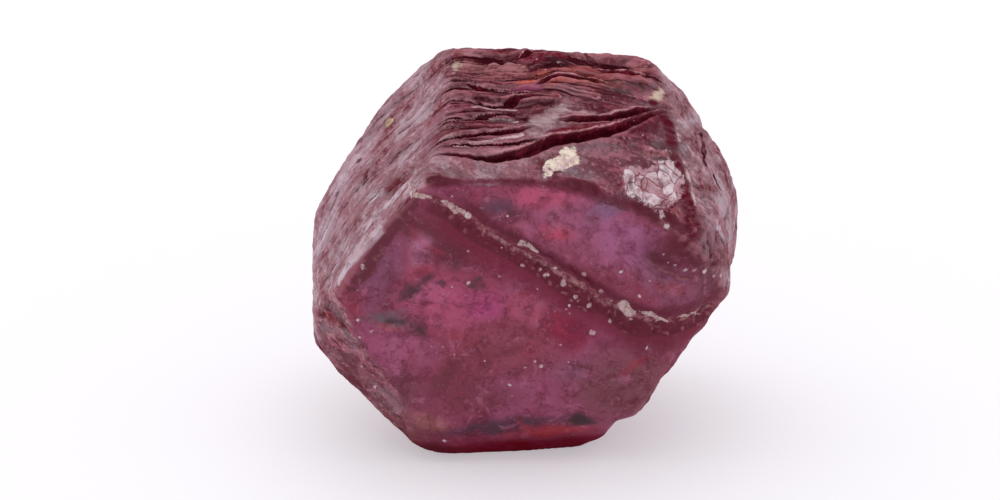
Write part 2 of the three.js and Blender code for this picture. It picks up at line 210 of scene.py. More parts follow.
# Colour inside the clear windows and on the skin: where each patch is, its half sizes and its turn
# about the front-to-back axis, then its colour and how strong it is.
PATCHES = (
    # Front window: dark and violet along its top and left, glowing pink in the middle.
    ((-2.9, -4.7, 7.6), (1.1, 2, 0.45), -10, (0.13, 0.025, 0.035), 0.85),
    ((-3.95, -4.5, 6.2), (0.55, 2, 1.2), -20, (0.24, 0.075, 0.15), 0.85),
    ((-2.87, -4.6, 6.85), (0.34, 2, 0.56), -5, (0.50, 0.18, 0.31), 0.95),
    ((-2.85, -4.55, 6.25), (0.35, 2, 0.25), 0, (0.38, 0.05, 0.09), 0.8),
    ((-2.05, -4.6, 6.85), (0.6, 2, 0.45), -20, (0.10, 0.02, 0.035), 0.85),
    ((-2.0, -4.3, 5.2), (1.4, 2, 0.95), -15, (0.48, 0.085, 0.185), 0.9),
    ((-0.98, -4.3, 5.15), (0.75, 2, 0.5), -15, (0.44, 0.06, 0.20), 0.8),
    ((0.0, -4.3, 4.95), (0.8, 2, 0.55), -30, (0.44, 0.085, 0.15), 0.8),
    ((-3.25, -4.1, 3.75), (1.0, 2, 0.55), -15, (0.42, 0.10, 0.20), 0.8),
    ((-3.7, -4.2, 4.38), (0.35, 2, 0.18), 0, (0.55, 0.14, 0.18), 0.8),
    ((-3.84, -4.27, 4.75), (0.72, 2, 0.34), -5, (0.16, 0.105, 0.135), 0.95),
    ((-0.4, -4.1, 3.75), (1.5, 2, 0.9), 0, (0.30, 0.06, 0.095), 0.7),
    ((1.15, -4.2, 4.45), (0.85, 2, 0.6), -40, (0.24, 0.008, 0.045), 0.9),
    ((-2.25, -3.9, 2.85), (0.25, 2, 0.95), -38, (0.16, 0.03, 0.045), 0.75),
    ((-1.2, -4.0, 3.2), (0.18, 2, 0.8), -30, (0.20, 0.035, 0.055), 0.6),
    ((1.25, -4.0, 3.1), (0.6, 2, 0.35), 10, (0.25, 0.09, 0.16), 0.7),
    ((2.8, -3.9, 2.6), (1.5, 2, 1.3), 20, (0.20, 0.065, 0.08), 0.85),
    ((3.65, -4.1, 4.1), (1.1, 2, 0.45), -15, (0.15, 0.055, 0.085), 0.8),
    ((-3.6, -3.9, 2.3), (0.6, 2, 0.9), -30, (0.17, 0.06, 0.08), 0.7),
    ((-2.75, -3.7, 1.45), (0.6, 2, 0.3), -25, (0.46, 0.165, 0.16), 0.9),
    ((-0.7, -3.6, 1.2), (2.2, 2, 0.27), 6, (0.075, 0.028, 0.052), 0.95),
    ((1.6, -3.5, 1.4), (0.42, 2, 0.22), 0, (0.05, 0.02, 0.03), 0.9),
    ((0.7, -3.4, 1.0), (1.2, 1.5, 0.25), 5, (0.40, 0.025, 0.035), 0.9),
    ((0.2, -3.0, 0.2), (3.6, 2, 0.8), 0, (0.11, 0.002, 0.006), 0.97),
    ((-1.3, -3.9, 2.2), (1.3, 2, 0.5), -5, (0.19, 0.035, 0.055), 0.65),
    # Hollow facet above the ledge: red at its top, then pink and violet, dark at the brow as painted shade.
    ((1.9, -4.2, 7.2), (2.9, 2, 0.85), -32, (0.40, 0.105, 0.21), 0.85),
    ((0.5, -4.4, 8.22), (1.0, 2, 0.34), -5, (0.55, 0.09, 0.18), 0.9),
    ((-0.75, -4.4, 8.0), (0.6, 2, 0.26), -20, (0.12, 0.055, 0.10), 0.85),
    ((2.2, -4.3, 7.75), (0.6, 2, 0.3), 30, (0.22, 0.12, 0.22), 0.8),
    ((0.9, -4.1, 7.2), (0.5, 2, 0.3), -20, (0.55, 0.06, 0.11), 0.9),
    ((2.9, -4.2, 6.9), (1.2, 2, 0.6), -35, (0.42, 0.13, 0.28), 0.8),
    ((3.9, -4.0, 5.75), (1.1, 2, 0.6), -35, (0.26, 0.09, 0.16), 0.8),
    ((4.1, -4.0, 5.5), (0.5, 2, 0.22), 0, (0.38, 0.07, 0.09), 0.7),
    ((4.5, -3.9, 6.7), (0.75, 1.5, 0.55), -10, (0.11, 0.014, 0.03), 0.9),
    ((4.15, -3.9, 6.9), (0.25, 1.5, 0.2), 0, (0.34, 0.05, 0.07), 0.9),
    ((3.7, -4.1, 6.45), (0.5, 1.5, 0.2), -20, (0.07, 0.008, 0.018), 0.9),
    ((4.95, -3.5, 6.75), (0.85, 1.3, 0.75), -35, (0.10, 0.010, 0.028), 0.95),
    ((4.62, -3.9, 6.9), (0.22, 0.8, 0.28), 0, (0.30, 0.07, 0.11), 0.8),
    ((5.15, -3.6, 5.9), (0.6, 1.2, 1.0), 10, (0.13, 0.032, 0.052), 0.85),
    # Top: dark crimson between the plates at its left and right, the stone's dark body deepened as painted
    # shade, and an orange glow at the middle.
    ((-1.7, -2.9, 9.7), (1.9, 1.3, 0.8), 0, (0.13, 0.010, 0.020), 1.0),
    ((2.5, -1.7, 9.7), (1.5, 1.2, 0.7), 0, (0.13, 0.014, 0.024), 0.9),
    ((0.5, -0.5, 10.5), (0.9, 0.5, 0.6), 0, (0.74, 0.14, 0.085), 1.0),
    ((1.7, -0.35, 10.45), (1.1, 0.45, 0.6), 0, (0.64, 0.14, 0.09), 1.0),
    ((-0.9, 0.2, 10.7), (1.2, 0.8, 0.6), 0, (0.54, 0.22, 0.22), 0.8),
    ((2.6, 0.4, 10.4), (1.1, 0.6, 0.5), 0, (0.44, 0.15, 0.15), 0.7),
    # Shelf: rosier towards its right.
    ((2.5, -3.0, 8.75), (1.3, 1.0, 0.6), -20, (0.36, 0.11, 0.15), 0.65),
    # Lower left: plum, like the inside of the stone.
    ((-4.9, -2.6, 2.5), (1.2, 2.2, 1.3), 0, (0.21, 0.065, 0.085), 0.9),
    ((-3.5, -2.8, 0.9), (1.2, 2.0, 0.8), 0, (0.16, 0.035, 0.045), 0.9),
    ((-2.7, -3.1, 0.4), (1.1, 1.6, 0.4), -15, (0.08, 0.010, 0.015), 0.9),
    # Left: a hazy lilac painted sheen on the flank, with a rusty band in front of it.
    ((-5.75, -0.9, 6.1), (0.8, 1.0, 1.2), 0, (0.68, 0.55, 0.63), 0.95),
    ((-5.2, 0.2, 7.2), (0.9, 0.8, 1.0), 0, (0.64, 0.51, 0.58), 0.95),
    ((-4.5, 0.5, 8.1), (0.8, 0.7, 0.8), 0, (0.56, 0.42, 0.47), 0.85),
    ((-4.9, -1.9, 6.9), (0.6, 0.7, 1.1), 0, (0.32, 0.14, 0.15), 0.6),
    # Back face: maroon, pink and violet again.
    ((-1.4, 4.4, 6.9), (1.5, 1.5, 0.8), 20, (0.42, 0.08, 0.17), 0.8),
    ((1.7, 4.4, 4.3), (1.6, 1.5, 0.9), -20, (0.15, 0.02, 0.04), 0.85),
    ((1.9, 4.4, 7.0), (0.9, 1.5, 0.7), 0, (0.20, 0.09, 0.17), 0.7),
    ((-1.9, 4.4, 3.7), (1.0, 1.5, 0.7), 10, (0.30, 0.015, 0.05), 0.8),
    ((-0.2, 4.4, 5.4), (0.8, 1.5, 0.4), -30, (0.50, 0.14, 0.20), 0.7),
)

# Marks on the skin, both stains and painted highlights and shade: the points of each stroke, its half
# width, colour and strength.
EDGE_HIGHLIGHT = (0.64, 0.44, 0.46)
LILAC = (0.60, 0.48, 0.54)
DARK = (0.045, 0.004, 0.009)
MAROON = (0.10, 0.006, 0.018)
CREAMY = (0.62, 0.47, 0.37)
STROKES = (
    # Top: long bright edges of laminae as painted highlights, deep gaps as painted shade, then pink, grey
    # and olive stains.
    (((-2.37, -3.37, 9.6), (-1.53, -3.3, 9.69), (-0.67, -2.89, 9.68), (-0.2, -2.75, 9.72)),
     0.16, DARK, 1.0),
    (((-2.52, -1.43, 9.8), (-1.53, -2.28, 10.08), (-0.6, -2.14, 10.0), (0.54, -2.27, 9.9)),
     0.14, DARK, 0.9),
    (((0.7, -2.83, 9.52), (1.36, -2.54, 9.56), (2.06, -2.17, 9.6), (2.79, -1.64, 9.59),
      (3.34, -1.24, 9.66)), 0.3, (0.14, 0.010, 0.022), 1.0),
    (((-2.5, -3.3, 9.62), (-2.17, -3.34, 9.73), (-1.43, -3.04, 9.81)), 0.06, EDGE_HIGHLIGHT, 1.2),
    (((-1.99, -3.66, 9.57), (-0.98, -3.42, 9.63), (-0.1, -2.96, 9.67)), 0.06, EDGE_HIGHLIGHT, 1.2),
    (((-1.95, -1.98, 10.13), (-1.09, -1.98, 10.1), (-0.28, -1.85, 9.99)), 0.06, EDGE_HIGHLIGHT, 1.2),
    (((-1.42, -2.32, 9.89), (-0.22, -2.37, 9.84)), 0.06, EDGE_HIGHLIGHT, 1.2),
    (((1.1, -2.0, 9.95), (2.1, -1.7, 9.95), (2.85, -1.35, 9.85)), 0.1, (0.44, 0.25, 0.28), 0.8),
    (((-2.05, -1.7, 10.25), (-0.95, -1.65, 10.2), (0.3, -1.4, 10.2)), 0.14, DARK, 0.9),
    (((0.1, 0.75, 10.65), (1.0, 1.05, 10.65)), 0.4, (0.15, 0.014, 0.025), 0.7),
    (((-1.6, 0.3, 10.7), (-0.2, 0.2, 10.7)), 0.3, (0.42, 0.17, 0.18), 0.75),
    (((1.6, 0.2, 10.6), (3.2, 0.3, 10.4)), 0.3, (0.34, 0.08, 0.08), 0.7),
    (((0.8, -0.7, 10.3), (1.55, -0.55, 10.4)), 0.15, DARK, 0.8),
    (((-0.3, -1.15, 10.35), (0.4, -0.85, 10.3)), 0.22, (0.45, 0.11, 0.22), 0.8),
    (((0.15, -2.75, 9.8), (0.75, -2.0, 9.95), (1.05, -1.75, 9.95)), 0.24, (0.46, 0.31, 0.33), 0.85),
    (((2.4, -0.5, 10.35), (3.2, -0.4, 10.2)), 0.35, (0.09, 0.055, 0.055), 0.65),
    (((3.6, -0.75, 9.85), (3.9, -0.1, 10.05)), 0.16, CREAMY, 0.85),
    (((-2.0, -0.6, 10.6), (-1.95, 0.4, 10.7)), 0.15, CREAMY, 0.8),
    (((-3.9, 0.5, 8.85), (-3.87, 0.85, 8.75)), 0.14, (0.64, 0.50, 0.32), 1.1),
    # Left face: two long lilac slabs by the front edge, with dark lines and rusty streaks.
    (((-4.82, -4.44, 5.66), (-4.46, -4.53, 6.19), (-4.04, -4.63, 6.89), (-3.65, -4.73, 7.53),
      (-3.3, -4.83, 8.09), (-3.04, -4.86, 8.57)), 0.22, (0.14, 0.018, 0.04), 0.8),
    (((-5.15, -4.23, 5.82), (-4.98, -4.28, 6.19), (-4.54, -4.51, 6.81), (-4.02, -4.63, 7.46)),
     0.11, LILAC, 1.1),
    (((-4.5, -3.9, 6.95), (-4.0, -3.74, 7.71), (-3.32, -3.88, 8.48)), 0.11, LILAC, 1.1),
    (((-4.27, -2.76, 7.68), (-3.89, -3.21, 8.12), (-3.56, -3.24, 8.38)), 0.14, LILAC, 1.1),
    (((-4.0, -3.5, 7.85), (-3.75, -3.8, 8.15), (-3.45, -4.3, 8.6)), 0.05, DARK, 0.9),
    (((-4.75, -3.0, 6.65), (-4.4, -3.25, 7.25), (-4.15, -3.45, 7.55)), 0.05, DARK, 0.9),
    (((-4.2, -2.55, 7.95), (-3.95, -2.1, 8.5)), 0.05, DARK, 0.85),
    (((-4.1, -0.7, 8.75), (-4.3, -0.75, 8.35), (-4.55, -1.3, 7.7)), 0.12, (0.10, 0.025, 0.035), 0.8),
    (((-5.25, -0.15, 6.9), (-5.25, 0.05, 6.8)), 0.16, (0.14, 0.07, 0.10), 0.8),
    (((-4.7, 0.0, 7.95), (-4.7, 0.2, 7.85)), 0.12, (0.14, 0.07, 0.10), 0.8),
    (((-5.45, -0.5, 6.3), (-5.8, -1.1, 5.4)), 0.2, (0.34, 0.15, 0.16), 0.7),
    (((-5.8, -1.3, 5.25), (-5.25, -2.15, 6.05), (-4.75, -2.7, 6.75)), 0.09, (0.46, 0.28, 0.31), 0.85),
    (((-3.4, -0.4, 9.6), (-3.05, -0.5, 9.9), (-2.3, -0.15, 10.6)), 0.1, (0.46, 0.30, 0.34), 0.85),
    (((-3.5, 0.15, 9.55), (-3.15, -0.25, 9.85), (-2.6, -0.05, 10.35)), 0.1, DARK, 0.8),
    (((-3.9, -1.0, 9.1), (-3.75, -3.2, 8.6)), 0.5, (0.13, 0.022, 0.032), 0.45),
    (((-4.2, -2.0, 8.2), (-5.0, -2.6, 6.4)), 0.35, (0.22, 0.08, 0.095), 0.35),
    # Right: the dark edge beside the shelf with a thin painted highlight along it, then creases darkened as
    # painted shade and pale streaks between the lumps.
    (((3.7, -0.85, 9.75), (3.96, -1.03, 9.47), (4.15, -2.02, 8.79), (4.38, -2.87, 8.09),
      (4.51, -3.54, 7.58), (4.67, -4.01, 7.09)), 0.26, MAROON, 0.66),
    (((4.25, -1.15, 9.25), (4.42, -2.05, 8.6), (4.62, -2.9, 7.95), (4.74, -3.4, 7.55)), 0.05, EDGE_HIGHLIGHT, 0.9),
    (((5.05, 0.0, 8.65), (5.05, -1.45, 8.25)), 0.12, DARK, 0.9),
    (((5.3, -1.4, 7.9), (5.5, -1.55, 7.4)), 0.08, DARK, 0.8),
    (((5.25, -3.25, 7.2), (5.6, -2.35, 6.35), (5.75, -1.85, 5.75)), 0.12, (0.56, 0.42, 0.48), 0.85),
)
# Patches of other stuff on the skin, as where, half sizes and turn: cream rock that clings to the
# shelf, a crackled pale patch, dark grit, mostly in the front window, and dust along the ledge.
CREAM = ((0.9, -3.4, 8.95), (0.62, 1.0, 0.28), 22)
CRACKLE = (
    ((3.8, -2.9, 8.2), (0.6, 1.8, 0.75), -20),
    ((3.2, -3.4, 8.3), (0.6, 1.2, 0.4), -10),
)
# Grains of white rock stuck to the front: across, height and radius. First the loose ones, then
# those crowding the ledge, then those under the brow.
GRAINS = (
    (-1.58, 7.9, 0.1), (3.85, 7.35, 0.1), (3.73, 7.62, 0.09), (-4.51, 6.36, 0.11), (-3.16, 8.55, 0.08),
    (-4.62, 5.64, 0.06), (-4.63, 4.71, 0.06), (-4.27, 4.32, 0.07), (-4.6, 4.12, 0.05), (-4.58, 2.98, 0.05),
    (-4.24, 2.35, 0.08), (-2.28, 0.76, 0.08), (-1.54, 5.87, 0.08), (-1.98, 3.58, 0.05), (-0.42, 2.56, 0.07),
    (-0.03, 3.19, 0.05), (0.43, 3.19, 0.07), (3.36, 3.81, 0.07), (1.83, 4.3, 0.11),
    (-0.73, 6.07, 0.06), (-0.1, 6.36, 0.07), (0.13, 6.55, 0.05), (0.39, 6.2, 0.05), (0.57, 6.04, 0.09),
    (0.8, 6.2, 0.06), (1.06, 5.79, 0.1), (1.35, 5.79, 0.05), (1.4, 5.39, 0.06), (1.23, 5.18, 0.05),
    (1.62, 5.98, 0.07), (1.78, 5.16, 0.08), (2.07, 5.47, 0.08), (2.39, 5.21, 0.05), (2.32, 4.66, 0.06),
    (2.62, 6.04, 0.06), (2.91, 4.64, 0.06), (3.15, 5.29, 0.07),
    (3.79, 6.61, 0.06), (3.93, 6.36, 0.05), (4.12, 6.29, 0.06), (4.4, 6.11, 0.07), (4.62, 6.14, 0.06),
    (4.94, 6.01, 0.07), (5.2, 5.77, 0.05), (5.45, 5.63, 0.08), (5.71, 5.36, 0.06),
)
GRIT = (
    ((-3.18, -4.4, 5.58), (0.6, 2, 0.34), 35),
    ((-2.75, -4.5, 6.0), (0.4, 2, 0.15), 40),
    ((-3.6, -4.3, 4.66), (0.4, 2, 0.16), -5),
    ((-2.95, -4.2, 4.4), (0.45, 2, 0.32), -10),
    ((-1.34, -4.4, 5.87), (0.35, 2, 0.2), -15),
    ((-2.39, -4.5, 5.8), (0.3, 2, 0.17), 0),
    ((1.6, -3.5, 1.4), (0.5, 1.5, 0.24), 0),
    ((2.95, -3.3, 8.35), (0.18, 1.0, 0.1), 40),
)
DUST = (
    ((-2.76, -4.9, 8.6), (0.55, 1, 0.14), -15),
    ((-1.94, -4.7, 8.1), (0.5, 1, 0.12), -38),
    ((0.12, -4.35, 6.85), (0.45, 1, 0.09), -30),
    ((2.83, -4.1, 4.9), (0.42, 1, 0.17), -38),
    ((3.6, -4.0, 4.7), (0.5, 1, 0.1), -20),
    ((4.5, -3.7, 4.62), (0.55, 1, 0.06), 5),
)


def lattice(i, j, k, seed):
    """A repeatable random value from -1 to 1 for each whole-number place."""
    def whole(value, factor):
        return value.astype(np.int64).astype(np.uint32) * np.uint32(factor)

    with np.errstate(over="ignore"):
        h = whole(i, 374761393) + whole(j, 668265263) + whole(k, 2246822519)
        h = h + np.uint32(seed * 3266489917 % 2**32)
        h = (h ^ (h >> np.uint32(13))) * np.uint32(1274126177)
        h = (h ^ (h >> np.uint32(15))) * np.uint32(2246822519)
        h = h ^ (h >> np.uint32(16))
    return h / 4294967295.0 * 2 - 1


def noise(points, waves, seed):
    """Smooth noise from -1 to 1 at each point, with this many waves per mm in each direction."""
    at = points * np.array(waves)
    cell = np.floor(at)
    part = at - cell
    part = part ** 3 * (part * (part * 6 - 15) + 10)
    total = 0
    for corner in np.ndindex(2, 2, 2):
        share = np.prod(np.where(corner, part, 1 - part), axis=1)
        total = total + share * lattice(*(cell + corner).T, seed)
    return total


def smoothstep(low, high, value):
    """0 up to low and 1 from high on, rising smoothly; it falls when low is above high."""
    part = np.clip((value - low) / (high - low), 0, 1)
    return part * part * (3 - 2 * part)


def normal_of(azimuth, tilt):
    """A unit normal. Azimuth 0 is the front and tilt is above the horizon, both in degrees."""
    a, t = math.radians(azimuth), math.radians(tilt)
    return np.array((math.sin(a) * math.cos(t), -math.cos(a) * math.cos(t), math.sin(t)))


def to_plane(ways, normal, reach):
    """Distance along each direction from the heart to a plane."""
    facing = ways @ normal
    return np.where(facing > 1e-3, reach / np.maximum(facing, 1e-3), NEVER)


def soft_min(a, b, blend):
    """The smaller of the two, rounded over where they meet."""
    least = np.minimum(a, b)
    return least - blend * np.log(np.exp((least - a) / blend) + np.exp((least - b) / blend))


def from_line(x, y, line):
    """Signed distance to a line of points, positive on its left, and the share of it passed."""
    nearest, along, length = np.full(len(x), np.inf), np.zeros(len(x)), 0.0
    for (x0, y0), (x1, y1) in zip(line, line[1:]):
        dx, dy = x1 - x0, y1 - y0
        span = math.hypot(dx, dy)
        t = np.clip(((x - x0) * dx + (y - y0) * dy) / span ** 2, 0, 1)
        ex, ey = x - x0 - t * dx, y - y0 - t * dy
        distance = np.hypot(ex, ey)
        closer = distance < np.abs(nearest)
        nearest = np.where(closer, distance * np.sign(dx * ey - dy * ex), nearest)
        along = np.where(closer, length + t * span, along)
        length += span
    return nearest, along / length


NORMALS = {name: normal_of(face[AZIMUTH], face[TILT]) for name, face in FACES.items()}
AXIS = -NORMALS["front"]                          # the barrel's axis, front to back
UP_FRONT = np.array((0, -AXIS[2], AXIS[1]))       # up along the front face


def in_crystal(points):
    """Points in the crystal's own directions: across, up the front face and behind it."""
    offset = points - HEART
    return np.stack((offset[:, 0], offset @ UP_FRONT, offset @ AXIS + FRONT_REACH), axis=1)


def terraces(value, riser):
    """Flat steps at the whole numbers, with rises this wide between them."""
    part = value - np.floor(value)
    return np.floor(value) + smoothstep(0.5 - riser / 2, 0.5 + riser / 2, part)


def cliffs(value, cliff):
    """Plates that slope away behind a sharp front edge."""
    part = value - np.floor(value)
    return smoothstep(0, cliff, part) - part


def laminae(crystal):
    """Thin plates across the barrel's axis, each with a cliff at its front edge, and their counts."""
    across, up, behind = crystal.T
    bend = 0.3 * noise(crystal, (0.2, 0.3, 0.12), 11) + 0.07 * noise(crystal, (0.8, 0.8, 0.5), 12)
    drift = noise(crystal, (0.17, 0.3, 0.8), 13) + 0.3 * noise(crystal, (0.5, 0.6, 2.0), 14)
    jagged = noise(crystal, (2.1, 2.1, 2.5), 28) + 0.5 * noise(crystal, (4.6, 4.6, 5), 29)
    layers = (behind + bend) / 0.55 + drift + 0.1 * jagged
    flutter = 1.3 * noise(crystal, (0.3, 0.4, 1.6), 15) + 0.5 * noise(crystal, (1.1, 1.1, 4), 16)
    sheets = (behind + bend) / 0.2 + flutter + 0.22 * jagged
    thick = noise(np.stack((across, up, terraces(layers, 0.2)), axis=1), (0.3, 0.3, 1), 17)
    thin = noise(np.stack((across, up, terraces(sheets, 0.3)), axis=1), (0.5, 0.5, 1), 18)
    strong = smoothstep(-0.5, 0.3, noise(crystal, (0.35, 0.5, 0.9), 19))
    relief = (0.55 * thick + 0.7 * cliffs(layers + 0.5, 0.2)) * (0.4 + 0.6 * strong)
    return relief + 0.22 * thin + 0.18 * cliffs(sheets + 0.5, 0.3), layers, sheets


def clefts(crystal):
    """Grooves between the laminae on top, each with a lip behind it, and how far off they are."""
    relief, nearest, tapering = 0, np.full(len(crystal), 9.0), np.zeros(len(crystal))
    across, behind = crystal[:, 0], crystal[:, 2]
    on_top = smoothstep(2.6, 3.4, crystal[:, 1])
    wobble = sum(high * noise(crystal, (waves, 0.1, 0.1), seed)
                 for high, waves, seed in ((0.07, 1.3, 31), (0.03, 4, 34), (0.02, 9, 38)))
    for line, half_width, depth, lip_high in CLEFTS:
        distance, share = from_line(across, behind + wobble, line)
        taper = smoothstep(0, 0.3, share) * smoothstep(0, 0.3, 1 - share) * on_top
        wide = half_width * (0.35 + 0.65 * taper) * (1 + 0.35 * noise(crystal, (1.1, 1.1, 0.1), 37))
        wide = wide * (0.85 + 0.25 * smoothstep(-1.2, 1.4, across))
        off = distance / wide
        groove = np.exp(-np.abs(off) ** 3)
        uneven = 1 + 0.5 * noise(crystal, (1.7, 0.1, 3), 39)
        lip = smoothstep(0.3, 1.3, off) * np.exp(-np.maximum(off, 0) / 4) * uneven
        relief = relief + taper * (lip_high * lip - depth * groove)
        off = off / (0.6 + 0.4 * smoothstep(-1.5, 0.5, across))
        nearer = (np.abs(off) < np.abs(nearest)) & (taper > 0.02)
        nearest, tapering = np.where(nearer, off, nearest), np.where(nearer, taper, tapering)
    return relief, np.clip(nearest, -9, 9), tapering ** 0.5


def blot(points, where, half_sizes, turn, softest=0.6):
    """How much of a soft, ragged patch each point is in, from 0 to 1."""
    offset = points - np.array(where)
    cosine, sine = math.cos(math.radians(turn)), math.sin(math.radians(turn))
    x, z = offset[:, 0], offset[:, 2]
    turned = np.stack((x * cosine + z * sine, offset[:, 1], z * cosine - x * sine), axis=1)
    return smoothstep(1.75 - softest, softest, np.linalg.norm(turned / np.array(half_sizes), axis=1))


def from_stroke(points, line):
    """Distance from each point to a line in space."""
    nearest = np.full(len(points), np.inf)
    for start, end in zip(np.array(line), np.array(line)[1:]):
        span = end - start
        t = np.clip((points - start) @ span / (span @ span), 0, 1)
        nearest = np.minimum(nearest, np.linalg.norm(points - start - t[:, None] * span, axis=1))
    return nearest


def to_scoop(ways, crystal, lump):
    """Distance to the hollowed facet above the ledge, and where the rough brow at its right is."""
    a, u = crystal[:, 0], crystal[:, 1]
    depth = sum(share * term for share, term in zip(HOLLOW, (1, a, u, a * a, a * u, u * u)))
    scoop = to_plane(ways, NORMALS["front"], FRONT_REACH - depth + 0.015 * lump)
    wobble = 0.05 * noise(crystal, (1.6, 1.6, 1.6), 33) + 0.04 * noise(crystal, (5, 5, 5), 35)
    distance, passed = from_line(crystal[:, 0], crystal[:, 1] + wobble, BROW_LEDGE)
    brow = smoothstep(-0.08, 0.08, distance) * smoothstep(0, 0.25, passed)
    return scoop + BROW_HEIGHT * brow * (1 + 0.5 * lump), brow


def to_chip(ways, planes, lump):
    """Distance to a chip, whose two planes meet in a hollow edge."""
    reaches = []
    for azimuth, tilt, through in planes:
        normal = normal_of(azimuth, tilt)
        reaches.append(to_plane(ways, normal, normal @ (np.array(through) - HEART) + 0.03 * lump))
    return -soft_min(-reaches[0], -reaches[1], 0.05)


def surface(ways):
    """The stone's surface along each direction, and what its skin is like there."""
    def to_faces(relief):
        shares = np.stack([
            (np.maximum(ways @ NORMALS[name], 0) / (FACES[name][REACH] + relief(name))) ** EDGE_SHARPNESS
            for name in FACES])
        return shares.sum(axis=0) ** (-1 / EDGE_SHARPNESS), shares / shares.sum(axis=0)

    plain = HEART + ways * to_faces(lambda name: 0)[0][:, None]
    crystal = in_crystal(plain)
    lamina, layers, sheets = laminae(crystal)
    cleft, cleft_off, cleft_here = clefts(crystal)
    lump = noise(plain, (0.75,) * 3, 21) + 0.55 * noise(plain, (1.35,) * 3, 22)
    knob = 0.5 - np.abs(noise(plain, (0.62,) * 3, 23)) - 0.6 * np.abs(noise(plain, (1.3,) * 3, 24))
    grain = noise(plain, (3.1,) * 3, 25) + 0.7 * noise(plain, (6.3,) * 3, 26)

    crown = CROWN_HEIGHT * np.exp(-((crystal[:, 0] - CROWN_ACROSS) / CROWN_HALF_WIDTH) ** 2)

    def relief(name):
        face = FACES[name]
        high = face[LAMINAE] * lamina + face[LUMPS] * lump + face[KNOBS] * knob + face[FINE_GRAIN] * grain
        if name == "top":
            high = high + crown
        return high + cleft if name in CLEFT_FACES else high

    distance, shares = to_faces(relief)

    def blend(column):
        return sum(share * FACES[name][column] for name, share in zip(FACES, shares))

    clear, pale, flaky = blend(CLEAR), blend(PALE), blend(LAMINAE) / FACES["top"][LAMINAE]

    wobble = 0.05 * noise(crystal, (1.6, 1.6, 1.6), 32) + 0.035 * noise(crystal, (4.5, 4.5, 4.5), 36)
    ledge, passed = from_line(crystal[:, 0], crystal[:, 1] + wobble, LEDGE)
    near_front = 1 - smoothstep(0.5, 1.6, crystal[:, 2])
    bevel = smoothstep(-BEVEL_WIDTH, 0.05, ledge) * smoothstep(0, 0.1, passed)
    sandy = smoothstep(-BEVEL_WIDTH, -BEVEL_WIDTH + 0.2, ledge + 0.1 * lump) * smoothstep(0, 0.1, passed)
    sandy = sandy * near_front * smoothstep(0.1, 0, ledge)
    rim = smoothstep(-1.35, -0.6, ledge) * smoothstep(0.03, -0.1, ledge)
    rim = rim * smoothstep(0, 0.15, passed) * near_front
    crumbs = grain + 0.8 * noise(plain, (9,) * 3, 27)
    distance = distance - (BEVEL_DROP * bevel - 0.045 * sandy * crumbs) * near_front
    scoop, brow = to_scoop(ways, crystal, lump)
    scooped = soft_min(distance, scoop, 0.1)
    above = smoothstep(0, 0.4, ledge)
    cut = distance - scooped
    scoop_share = above * smoothstep(0.02, 0.1, cut)
    to_shelf = np.minimum(*(to_plane(ways, NORMALS[name], FACES[name][REACH])
                            for name in ("shelf", "shelf_right")))
    wide = 0.45 + 0.35 * smoothstep(0.3, 2.2, crystal[:, 0]) + 0.15 * lump
    shade = smoothstep(wide, 0.5 * wide, scoop - distance)
    shade = shade * smoothstep(0.35, 0.05, to_shelf - scooped) * above
    # A band just above the ledge, at the foot of the hollow's wall, which is darkened as painted shade.
    foot = smoothstep(-0.02, 0.12, ledge) * smoothstep(0.55, 0.25, ledge)
    foot = foot * near_front * smoothstep(0.02, 0.15, passed)
    distance = distance + (scooped + 0.02 * brow * crumbs - distance) * above
    chips_end = smoothstep(*CHIP_FADE, crystal[:, 2])
    for planes in CHIPS:
        distance = soft_min(distance, to_chip(ways, planes, lump) + chips_end, 0.04)
    distance = np.minimum(distance, to_plane(ways, np.array((0, 0, -1.0)), HEART[2]))
    clear = clear + (1 - clear) * np.maximum(scoop_share * (1 - 0.6 * brow), shade)

    skin = HEART + ways * distance[:, None]
    ragged = skin + 0.14 * np.stack([noise(skin, (1.6,) * 3, seed) + 0.5 * noise(skin, (4,) * 3, seed + 1)
                                     for seed in (41, 43, 45)], axis=1)
    return skin, {
        "clear": clear, "pale": pale * (1 - scoop_share), "flaky": flaky * (1 - scoop_share),
        "layers": layers, "relief": lamina, "sheets": sheets, "sandy": sandy, "rim": rim,
        "foot": foot, "shade": shade, "ledge": np.clip(ledge, -1, 1),
        "cleft_off": cleft_off, "cleft_here": cleft_here, "brow": brow * scoop_share,
        "cream": blot(ragged, *CREAM),
        "crackle": np.max([blot(ragged, *spot) for spot in CRACKLE], axis=0),
        "grit": np.max([blot(ragged, *spot, 0.0) for spot in GRIT], axis=0),
        "dust": np.max([blot(ragged, *spot) for spot in DUST], axis=0),
    }, ragged


CROWDING = 0.42                                   # draws the vertices towards the detailed side
SMOOTHING_ROUNDS = 6
EDGE_AND_CREASE_HEIGHT = 0.02                                # how far an edge stands proud, or a crease sinks, for the full wear and painted highlight, or painted shade
GRAINS_END = -2.4                                 # the grains lie in front of this, on the front face
DETAILED_SIDE = np.array((0, -0.75, 0.66))

ball = bmesh.new()
bmesh.ops.create_icosphere(ball, subdivisions=6, radius=1)
bmesh.ops.subdivide_edges(ball, edges=ball.edges, cuts=2, use_grid_fill=True)
bmesh.ops.triangulate(ball, faces=ball.faces)
ways = np.array([vertex.co for vertex in ball.verts])
ways = ways / np.linalg.norm(ways, axis=1)[:, None] + CROWDING * DETAILED_SIDE
ways = ways / np.linalg.norm(ways, axis=1)[:, None]
skin, skin_fields, ragged = surface(ways)
for vertex, place in zip(ball.verts, skin * MM):
    vertex.co = place
crystal_mesh = bpy.data.meshes.new("sapphire")
ball.to_mesh(crystal_mesh)
ball.free()
crystal_mesh.shade_smooth()



def keep(name, values):
    """Writes an attribute of the mesh: a number at each vertex, or a vector."""
    kind, slot = ("FLOAT", "value") if values.ndim == 1 else ("FLOAT_VECTOR", "vector")
    layer = crystal_mesh.attributes.new(name, kind, "POINT")
    layer.data.foreach_set(slot, values.astype(np.float32).ravel())
